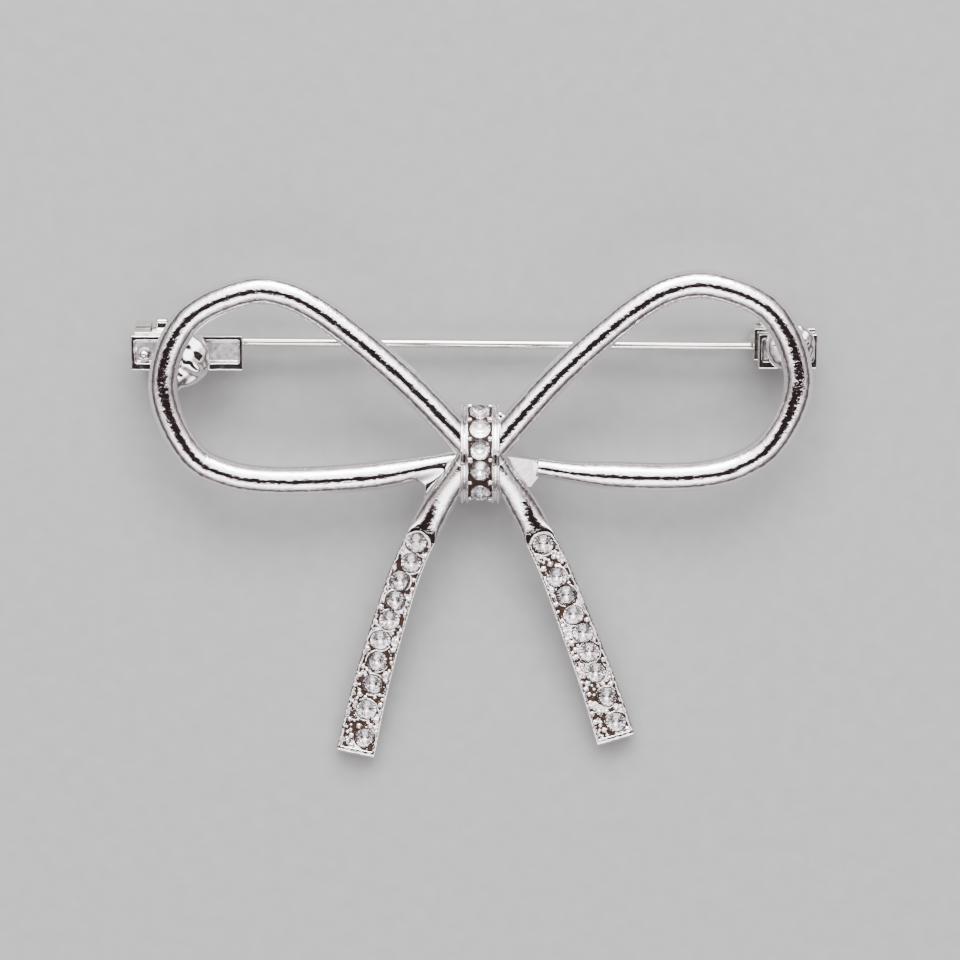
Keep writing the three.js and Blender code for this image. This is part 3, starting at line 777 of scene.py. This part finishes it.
    def build(self):
        node = f"{self.side}_tail"
        box = ((self.start - 0.1, -1.75, -0.95), (self.length + 0.1, 1.75, 1.75))
        field_piece(f"{node}_casting", self.field, box, 0.04, CAST, node, mapping=self.lay)
        box = ((self.top - TAIL_STONE, -1.7, 0.1), (self.length, 1.7, 1.2))
        field_piece(f"{node}_glue", self.glue, box, 0.045, GLUE, node, mapping=self.lay)
        for number, (u, v) in enumerate(self.stones, 1):
            place = self.lay(np.array([[u, v, 0]]))[0]
            place[2] = girdle_at(self.section(np.array(u))[2])
            matrix, seed = Matrix.Translation(place), number * 7 + len(node)
            stone_piece(f"{node}_stone_{number}", matrix, TAIL_STONE / 2, seed)


tails = [Tail("left", LEFT_TAIL, LEFT_SEATS, 11), Tail("right", RIGHT_TAIL, RIGHT_SEATS, 23)]
for tail in tails:
    tail.build()


# ---- knot
KNOT_INNER = 0.9  # half the width between the inner rails
KNOT_GROOVE_AT, KNOT_GROOVE = 1.17, 0.1
GUSSET_AT, GUSSET_TURN = 0.74, 12  # from the middle, and past the end stones in degrees
SOLDER_BLOBS = (((1.52, 2.95, 0.3), 0.3), ((1.7, 2.72, 0.35), 0.24))


def knot_point(degrees, radius):
    angle = math.radians(degrees)
    return KNOT_Y + radius * math.sin(angle), KNOT_Z + radius * math.cos(angle)


def knot_outline():
    bottom, top = KNOT_ENDS
    arc = [knot_point(angle, KNOT_RADIUS) for angle in np.linspace(bottom, top, 44)]
    top_y, bottom_y = arc[-1][0], arc[0][0]
    return arc + [(top_y - 0.35, KNOT_BACK), (bottom_y + 0.9, KNOT_BACK), (bottom_y + 0.25, -0.5)]


def knot_hollows(p, radius):
    """Signed distance to the nearest knot stone, with the space above it."""
    girdle = girdle_at(KNOT_RADIUS)
    nearest = np.full(len(p), 9.0)
    for degrees in KNOT_ANGLES:
        angle = math.radians(degrees)
        y, z = p[:, 1] - KNOT_Y, p[:, 2] - KNOT_Z
        height = y * math.sin(angle) + z * math.cos(angle) - girdle
        along = y * math.cos(angle) - z * math.sin(angle)
        nearest = np.minimum(nearest, stone_hollow(np.hypot(p[:, 0], along), height, radius))
    return nearest


def knot_field(p):
    x, y, z = p.T
    rho = np.hypot(y - KNOT_Y, z - KNOT_Z)
    body = extruded(polygon(y, z, knot_outline()), x, -KNOT_FLANK, KNOT_FLANK, 0.13)
    channel = smooth_max(np.abs(x) - KNOT_INNER, KNOT_RADIUS - CHANNEL_DEPTH - 0.06 - rho, 0.05)
    groove = np.maximum(np.abs(np.abs(x) - KNOT_GROOVE_AT) - KNOT_GROOVE, KNOT_RADIUS - 0.24 - rho)
    body = smooth_max(smooth_max(body, -channel, 0.1), -groove, 0.1)
    between = [(a + b) / 2 for a, b in zip(KNOT_ANGLES[:-1], KNOT_ANGLES[1:])]
    for degrees in [KNOT_ANGLES[0] - GUSSET_TURN, *between, KNOT_ANGLES[-1] + GUSSET_TURN]:
        cy, cz = knot_point(degrees, KNOT_RADIUS - CHANNEL_DEPTH)
        size = 0.2 + 0.04 * np.sin(degrees + 2 * np.sign(x))
        gusset = np.sqrt((np.abs(x) - GUSSET_AT) ** 2 + (y - cy) ** 2 * 0.7 + (z - cz) ** 2) - size
        body = smooth_min(body, gusset, 0.08)
    body = np.maximum(body, -knot_hollows(p, KNOT_STONE / 2 + SEAT_CLEARANCE))
    for place, radius in SOLDER_BLOBS:
        body = smooth_min(body, np.linalg.norm(p - place, axis=1) - radius, 0.15)
    return body


def knot_glue(p):
    x, y, z = p.T
    rho = np.hypot(y - KNOT_Y, z - KNOT_Z)
    angle = np.degrees(np.arctan2(y - KNOT_Y, z - KNOT_Z))
    uneven = 0.03 * np.sin(6 * y) * np.sin(7 * x) + 0.02 * np.sin(14 * y + 4 * x)
    sheet = np.abs(rho - KNOT_RADIUS + 0.32) - 0.09 - uneven
    sheet = smooth_max(sheet, np.abs(x) - KNOT_INNER - 0.02, 0.05)
    ends = np.maximum(KNOT_ENDS[0] + 4 - angle, angle - KNOT_ENDS[1] + 4) * 0.07
    return np.maximum(np.maximum(sheet, ends), -knot_hollows(p, KNOT_STONE / 2 + CEMENT_CLEARANCE))


def knot():
    box = ((-1.75, -4.1, -1.6), (2.2, 3.95, 2.3))
    field_piece("knot_casting", knot_field, box, 0.04, CAST, "knot")
    field_piece("knot_glue", knot_glue, box, 0.045, GLUE, "knot")
    for number, degrees in enumerate(KNOT_ANGLES, 1):
        y, z = knot_point(degrees, girdle_at(KNOT_RADIUS))
        matrix = Matrix.Translation((0, y, z)) @ Matrix.Rotation(-math.radians(degrees), 4, "X")
        stone_piece(f"knot_stone_{number}", matrix, KNOT_STONE / 2, 300 + number)


knot()


# ---- webs
def nearest_of(centres, p):
    """The number of the nearest centre, for each point."""
    best, pick = np.full(len(p), 1e9), np.zeros(len(p), int)
    for k, centre in enumerate(centres):
        far = ((p - centre) ** 2).sum(1)
        closer = far < best
        best[closer], pick[closer] = far[closer], k
    return pick


def round_path(p, path, share_from, section):
    """Signed distance to a wire of elliptical section, for a stretch near the end of its path."""
    marks = np.linspace(share_from, 1, 70) * path.length
    centres, along = path.at(marks), path.along(marks)
    side, over = side_and_over(along, UP)
    pick = nearest_of(centres, p)
    width, height = section(marks[pick] / path.length)
    offset = p - centres[pick]
    a = (offset * side[pick]).sum(1) / (width / 2)
    b = (offset * over[pick]).sum(1) / (height / 2)
    c = (offset * along[pick]).sum(1)
    wall = (np.hypot(a, b) - 1) * np.minimum(width, height) / 2
    return np.maximum(wall, np.abs(c) - 0.14)


def tail_body(p, tail):
    """The plain bar of a tail, for points in the bow's frame near its neck."""
    marks = np.linspace(0.5, 9, 70)
    centres, along = tail.path.at(marks), tail.path.along(marks)
    pick = nearest_of(centres[:, :2], p[:, :2])
    offset = p[:, :2] - centres[pick][:, :2]
    direction = along[pick][:, :2]
    u = marks[pick] + (offset * direction).sum(1)
    v = offset[:, 1] * direction[:, 0] - offset[:, 0] * direction[:, 1]
    return tail.bar(u, v, p[:, 2])


LEFT_WEB = [(-5.5, -1.2), (-5.5, -1.8), (-4.25, -2.6), (-4.2, -3.6), (-3.0, -3.6), (-2.2, -1.2)]
STRAND_END = RIGHT_LOOP[-1][0] * LOOP_REACH
RIGHT_WEB = [
    (1.2, -0.1), (2.5, -0.35), (STRAND_END + 0.5, -0.8), (STRAND_END + 0.5, -1.7),
    (STRAND_END - 0.4, -2.9), (2.6, -3.2), (1.2, -2.0),
]


def left_web_field(p):
    x, y, z = p.T
    slab = extruded(polygon(x, y, LEFT_WEB), z, WEB_BACK, WEB_FRONT, 0.14)
    strand = round_path(p, loop_path(LEFT_LOOP), 0.85, wire_section) + 0.02
    web = smooth_min(slab, strand, 0.5)
    return smooth_min(web, tail_body(p, tails[0]) + 0.02, 0.4)


def right_web_field(p):
    x, y, z = p.T
    slope = z - (WEB_FRONT + 0.2 - 0.2 * (x - 2.2) + 0.22 * (y + 1.2))
    slab = extruded(polygon(x, y, RIGHT_WEB), z, WEB_BACK, 0.4, 0.12)
    slab = smooth_max(slab, slope, 0.1)
    return smooth_min(slab, tail_body(p, tails[1]) + 0.02, 0.3)


def inside_box(field, low, high):
    """Keeps a field inside a plain box."""
    return lambda p: np.maximum(field(p), rounded_box(p, low, high, 0.02))


def web(name, node, field, low, high):
    box = (np.array(low) - 0.1, np.array(high) + 0.1)
    field_piece(name, inside_box(field, low, high), box, 0.05, FACET, node)


web("left_web", "left_loop", left_web_field, (-6.8, -4.8, -1.4), (-1.3, 0.2, 1.7))
web("right_web", "right_loop", right_web_field, (1.3, -4.8, -1.4), (5.2, 0.4, 1.7))


# ---- pads and trays
def disc_dome(p, centre, radius, back, crown):
    """A soldered boss: a flat-backed disc with a domed front."""
    x, y, z = (p - [*centre, back]).T
    r = np.hypot(x, y)
    ball = (radius**2 + (crown - back) ** 2 * 0.6) / (2 * (crown - back) * 0.6)
    dome = np.sqrt(r**2 + (z - (crown - back) + ball) ** 2) - ball
    return smooth_max(smooth_max(dome, r - radius, 0.35), -z, 0.1)


def capsule(p, start, end, thick, thin):
    start, end = np.array(start, float), np.array(end, float)
    axis = end - start
    t = np.clip(((p - start) @ axis) / (axis @ axis), 0, 1)
    return np.linalg.norm(p - start - t[:, None] * axis, axis=1) - (thick + (thin - thick) * t)


def lumps(p, depth, rate, turn):
    """A slow unevenness, as in solder and plate over casting."""
    x, y, z = p.T * rate
    ripple = 0.6 * np.sin(2.1 * x - 1.7 * z) * np.sin(2.3 * y)
    return depth * (np.sin(x + turn) * np.sin(1.3 * y - turn) + ripple)


def left_pad_field(p):
    x = sum(side_x("left_pad")) / 2
    boss = disc_dome(p, (x, 6.95), 2.2, PAD_BACK, PAD_CROWN)
    drip = capsule(p, (x - 0.3, 5.6, -1.2), (x - 0.6, 4.1, -1.1), 0.55, 0.12)
    ridge = capsule(p, (x - 1.2, 8.0, -0.9), (x + 1.2, 6.2, -0.75), 0.35, 0.3)
    boss = smooth_min(smooth_min(boss, drip, 0.5), ridge, 0.4)
    return np.maximum(boss + lumps(p, 0.035, 2.4, 1.0), PAD_BACK + 0.02 - p[:, 2])


def right_pad_field(p):
    x = sum(side_x("right_pad")) / 2
    boss = disc_dome(p, (x, 7.85), 1.9, PAD_BACK, PAD_CROWN - 0.15)
    return np.maximum(boss + lumps(p, 0.04, 3.1, 2.2), PAD_BACK + 0.02 - p[:, 2])


TRAY_HALF, TRAY_BLOB = 1.36, 0.42


def tray_field(node, y, blob):
    """An open tray, its box, and a test for the points in its recess."""
    low, high = side_x(node)
    box_low = np.array([low, y - TRAY_HALF, BASE_BACK])
    box_high = np.array([high, y + TRAY_HALF, BASE_FRONT])
    recess_low = box_low + [0.3, 0.6, 0.35]
    recess_high = box_high + [-0.3, -0.4, 1.0]

    def field(p):
        shell = rounded_box(p, box_low, box_high, 0.12)
        hollow = rounded_box(p, recess_low, recess_high, 0.2) + lumps(p, 0.008, 2.7, 0.4)
        tray = smooth_max(shell, -hollow, 0.08) + lumps(p, 0.005, 2.9, 1.7)
        if blob is not None:
            tray = smooth_min(tray, np.linalg.norm(p - blob, axis=1) - TRAY_BLOB, 0.2)
        return tray

    def in_recess(p):
        within = ((p > recess_low + 0.1) & (p < recess_high - 0.1))[:, :2].all(1)
        return within & (p[:, 2] < BASE_FRONT - 0.2) & (p[:, 2] > BASE_BACK + 0.15)

    return field, (box_low - 0.2, box_high + [0.2, 0.2, 0.6]), in_recess


def pads_and_trays():
    pads = (("left_pad", left_pad_field, 3.7, 9.4), ("right_pad", right_pad_field, 5.7, 10.0))
    for node, field, y_low, y_high in pads:
        low, high = side_x(node)
        box = ((low - 0.2, y_low, -1.9), (high + 0.2, y_high, 0.1))
        field_piece(f"{node}_boss", field, box, 0.06, FACET, node)
    low, _ = side_x("catch_base")
    trays = (
        ("catch_tray", "catch_base", 7.3, np.array([low + 1.0, 7.2, -1.95])),
        ("hinge_tray", "hinge_base", 7.42, None),
    )
    for name, node, y, blob in trays:
        field, box, in_recess = tray_field(node, y, blob)
        tray = field_piece(name, field, box, 0.055, FACET, node)
        tray.data.materials.append(RAW)
        centres = place_points([face.center for face in tray.data.polygons], TO_ROW.inverted())
        tray.data.polygons.foreach_set("material_index", in_recess(centres).astype(np.int32))


pads_and_trays()


# ---- catch
def open_ring(p, x_low, x_high, outer, inner):
    """A ring about the pin's line, open away from the bow."""
    x, y, z = p[:, 0], p[:, 1] - CATCH_Y, p[:, 2] - PIN_Z
    r = np.hypot(y, z)
    ring = np.maximum(r - outer, inner - r)
    mouth = np.maximum(np.abs(y) - SLOT_WIDTH / 2, z)
    ring = smooth_max(ring, -mouth, 0.08)
    return extruded(ring, x, x_low, x_high, 0.06)


def catch_pieces():
    low, high = side_x("catch_body")

    def body(p):
        r = np.hypot(p[:, 1] - CATCH_Y, p[:, 2] - PIN_Z)
        foot_low = (low, CATCH_Y - 1, PIN_Z + COLLAR_RADIUS + RUNNING_GAP)
        made = rounded_box(p, foot_low, (high, CATCH_Y + 1, FOOT_FRONT), 0.05)
        for start in (low, high - RING_WIDTH):
            leg_low = (start, CATCH_Y - 1, PIN_Z + RING_INNER * 0.8)
            leg = rounded_box(p, leg_low, (start + RING_WIDTH, CATCH_Y + 1, FOOT_FRONT), 0.05)
            leg = np.maximum(leg, RING_INNER - r)
            ring = open_ring(p, start, start + RING_WIDTH, RING_OUTER, RING_INNER)
            made = smooth_min(made, smooth_min(ring, leg, 0.12), 0.03)
        return made

    box = ((low - 0.1, CATCH_Y - 1.8, PIN_Z - 1.8), (high + 0.1, CATCH_Y + 1.8, FOOT_FRONT + 0.1))
    field_piece("catch_rings", body, box, 0.045, FINDING, "catch_body")

    collar = (low + RING_WIDTH + RUNNING_GAP, high - RING_WIDTH - RUNNING_GAP)
    angle = math.radians(LEVER_ANGLE)

    def roller(p):
        made = open_ring(p, low, high, RING_INNER - RUNNING_GAP, ROLLER_BORE)
        made = np.minimum(made, open_ring(p, *collar, COLLAR_RADIUS, ROLLER_BORE))
        y, z = p[:, 1] - CATCH_Y, p[:, 2] - PIN_Z
        out = y * math.cos(angle) + z * math.sin(angle)
        up = z * math.cos(angle) - y * math.sin(angle)
        turned = np.column_stack([p[:, 0], out, up])
        lever_low, lever_high = (collar[0] + 0.35, RING_INNER, -0.25), (collar[1], LEVER_REACH, 0.25)
        lever = rounded_box(turned, lever_low, lever_high, 0.2)
        return smooth_min(made, lever, 0.12)

    box = ((low - 0.1, CATCH_Y - 1.7, PIN_Z - 1.7), (high + 0.1, CATCH_Y + 2.4, PIN_Z + 1.8))
    field_piece("catch_lever", roller, box, 0.045, FINDING, "catch_roller", "catch_rotor")


catch_pieces()


# ---- hinge and pin
def hinge_pieces():
    left, right = side_x("hinge_bracket")
    rivet_x = left + CHEEK_RADIUS
    outer_half = CHEEK_GAP_HALF + CHEEK_THICKNESS
    heel_z = FOOT_FRONT - 1.5
    arc = np.radians(np.linspace(180, 306, 12))
    side = [
        (right, FOOT_FRONT),
        (left, FOOT_FRONT),
        *((rivet_x + CHEEK_RADIUS * math.cos(a), RIVET_Z + CHEEK_RADIUS * math.sin(a)) for a in arc),
        (right - 0.5, heel_z),
        (right, heel_z + 0.5),
    ]

    def bracket(p):
        x, y, z = p.T
        made = extruded(polygon(x, z, side), y - COIL_MIDDLE_Y, -outer_half, outer_half, 0.07)
        gap = np.maximum(np.abs(y - COIL_MIDDLE_Y) - CHEEK_GAP_HALF, z - FOOT_FRONT + 0.4)
        made = smooth_max(made, -gap, 0.04)
        hole = np.hypot(x - rivet_x, z - RIVET_Z) - RIVET_RADIUS - 0.03
        return np.maximum(made, -hole)

    low = (left - 0.1, COIL_MIDDLE_Y - outer_half - 0.1, RIVET_Z - CHEEK_RADIUS - 0.1)
    high = (right + 0.1, COIL_MIDDLE_Y + outer_half + 0.1, FOOT_FRONT + 0.1)
    field_piece("hinge_cheeks", bracket, (low, high), 0.045, FINDING, "hinge_bracket")

    def rivet(p):
        r = np.hypot(p[:, 0] - rivet_x, p[:, 2] - RIVET_Z)
        y = np.abs(p[:, 1] - COIL_MIDDLE_Y)
        shank = np.maximum(r - RIVET_RADIUS, y - outer_half - 0.1)
        dome = 0.2 * np.sqrt(np.maximum(1 - (r / 0.62) ** 2, 0))
        head = np.maximum(y - outer_half - 0.03 - dome, outer_half + 0.03 - y)
        head = smooth_max(head, r - RIVET_HEAD, 0.05)
        return smooth_min(shank, head, 0.03)

    low = (rivet_x - 0.75, COIL_MIDDLE_Y - outer_half - 0.35, RIVET_Z - 0.75)
    high = (rivet_x + 0.75, COIL_MIDDLE_Y + outer_half + 0.35, RIVET_Z + 0.75)
    field_piece("hinge_rivet_domed", rivet, (low, high), 0.035, FINDING, "hinge_rivet")
    return rivet_x


POINT_LENGTH, POINT_RADIUS = 3.2, 0.03


def pin_piece(rivet_x):
    """One wire: a ground point, a straight stem, and a coil round the rivet."""
    tip, _ = side_x("pin_stem")
    catch_right = side_x("catch_body")[1]
    stem_end = rivet_x - 0.5
    ground = tip + POINT_LENGTH * np.linspace(0, 1, 40) ** 1.3
    x = np.concatenate([ground, np.linspace(tip + 3.3, stem_end, 120)])
    grind = np.sin(np.clip((x - tip) / POINT_LENGTH, 0, 1) * np.pi / 2)
    ground = POINT_RADIUS + (PIN_RADIUS - POINT_RADIUS) * grind
    radius = np.where(x < tip + POINT_LENGTH, ground, PIN_RADIUS)
    y = CATCH_Y + (x - catch_right) * (STEM_Y - CATCH_Y) / (stem_end - catch_right)
    straight = np.column_stack([x, y, np.full(len(x), PIN_Z)])
    share = np.linspace(0, 1, 90)
    turn = 2 * np.pi * COIL_TURNS * share
    coil_x, coil_z = rivet_x + COIL_RADIUS * np.sin(turn), RIVET_Z + COIL_RADIUS * np.cos(turn)
    coil = np.column_stack([coil_x, STEM_Y + COIL_REACH * share, coil_z])
    centres = np.vstack([straight, coil])
    radius = np.concatenate([radius, np.full(len(coil), PIN_RADIUS)])
    along = np.gradient(centres, axis=0)
    along /= np.linalg.norm(along, axis=1, keepdims=True)
    rings = ellipse_ring(2 * radius, 2 * radius, 28)
    piece = tube_piece("pin_wire", centres, along, np.array([0, 1.0, 0]), rings)
    piece.data.materials.append(WIRE)
    settle_piece(piece, "pin_stem", "pin")


pin_piece(hinge_pieces())


# ---- studio
VIEW_LEAN = math.radians(12.02)  # of the bow away from the camera in the photographed pose
PHOTO_LEAN = VIEW_LEAN - TILT
LENS, SENSOR, VIEW_WIDTH = 110.0, 36.0, 72.96
DISTANCE = VIEW_WIDTH * LENS / SENSOR
GAP_LEAN, GAP_SQUEEZE, GAP_EDGE = 15, 0.31, (0.942, 0.954, 0.967)
GAP_RIM, GAP_COLOUR = (0.045, 0.016, 0.016), (0.005, 0.0035, 0.004)
SKY_STRENGTH = 7.0
TENT_AXIS, TENT_SQUEEZE = (0, 0.12, 0.993), (1.25, 0.6, 1)
TENT = [
    (0.0, (0.012, 0.010, 0.012)),
    (0.3, (0.03, 0.026, 0.028)),
    (0.5, (0.16, 0.145, 0.147)),
    (0.62, (0.32, 0.295, 0.30)),
    (0.76, (0.85, 0.835, 0.83)),
    (0.88, (1.0, 0.99, 0.985)),
]
AIM_BELOW = 2.13  # the knot's middle, down the picture


def studio_sky():
    """A white tent, dark down at the horizon, with a dark gap where the photographer stands."""
    world = bpy.data.worlds.new("studio")
    world.use_nodes = True
    tree = world.node_tree
    nodes, links = tree.nodes, tree.links
    direction = nodes.new("ShaderNodeTexCoord").outputs["Generated"]

    def vector(operation, source, value=None):
        made = nodes.new("ShaderNodeVectorMath")
        made.operation = operation
        if value is not None:
            made.inputs[1].default_value = value
        links.new(source, made.inputs[0])
        return made.outputs["Value" if operation == "DOT_PRODUCT" else "Vector"]

    def towards(axis, squeeze):
        """How far a direction points along an axis, after it is squeezed."""
        unit = vector("NORMALIZE", vector("MULTIPLY", direction, squeeze))
        return vector("DOT_PRODUCT", unit, axis)

    gap_at = math.radians(GAP_LEAN) - PHOTO_LEAN
    gap = towards((0, -math.sin(gap_at), math.cos(gap_at)), (GAP_SQUEEZE, 1, 1))
    shade = ramp(tree, gap, list(zip(GAP_EDGE, (1.0, GAP_RIM, GAP_COLOUR))))
    tent = ramp(tree, towards(TENT_AXIS, TENT_SQUEEZE), TENT)
    mixed = nodes.new("ShaderNodeMix")
    mixed.data_type, mixed.blend_type = "RGBA", "MULTIPLY"
    mixed.inputs["Factor"].default_value = 1.0
    links.new(tent, mixed.inputs["A"])
    links.new(shade, mixed.inputs["B"])
    links.new(mixed.outputs["Result"], nodes["Background"].inputs["Color"])
    nodes["Background"].inputs["Strength"].default_value = SKY_STRENGTH
    bpy.context.scene.world = world


def studio():
    studio_sky()
    lens = bpy.data.cameras.new("camera")
    lens.lens, lens.sensor_width = LENS, SENSOR
    lens.clip_start, lens.clip_end = 0.01, 10
    camera = add_object("camera", lens)
    toward = Vector((0, math.sin(PHOTO_LEAN), math.cos(PHOTO_LEAN)))
    view_up = Vector((0, math.cos(PHOTO_LEAN), -math.sin(PHOTO_LEAN)))
    aim = ORIGIN - view_up * AIM_BELOW
    camera.location = (aim + toward * DISTANCE) * MM
    camera.rotation_euler = (-PHOTO_LEAN, 0, 0)
    bpy.context.scene.camera = camera


def area_light(name, place, size, power, colour):
    data = bpy.data.lights.new(name, "AREA")
    data.shape = "RECTANGLE"
    data.size, data.size_y = size
    data.energy = power
    data.color = colour
    light = add_object(name, data)
    light.location = place
    direction = Vector((0, 0, 0.004)) - Vector(place)
    light.rotation_euler = direction.to_track_quat("-Z", "Y").to_euler()


studio()
area_light("top_box", (0.02, 0.42, 0.42), (0.5, 0.3), 6.0, (1, 0.985, 0.975))


def floor_piece():
    mesh = bpy.data.meshes.new("floor")
    shape = bmesh.new()
    bmesh.ops.create_grid(shape, x_segments=2, y_segments=2, size=1.5)
    shape.to_mesh(mesh)
    shape.free()
    floor = add_object("floor", mesh)
    tint = [(0.3, (0.225, 0.225, 0.23)), (0.7, (0.245, 0.245, 0.25))]
    mesh.materials.append(patterned("floor", {"Roughness": 0.9}, (0.8, 3), tint)[0])


floor_piece()
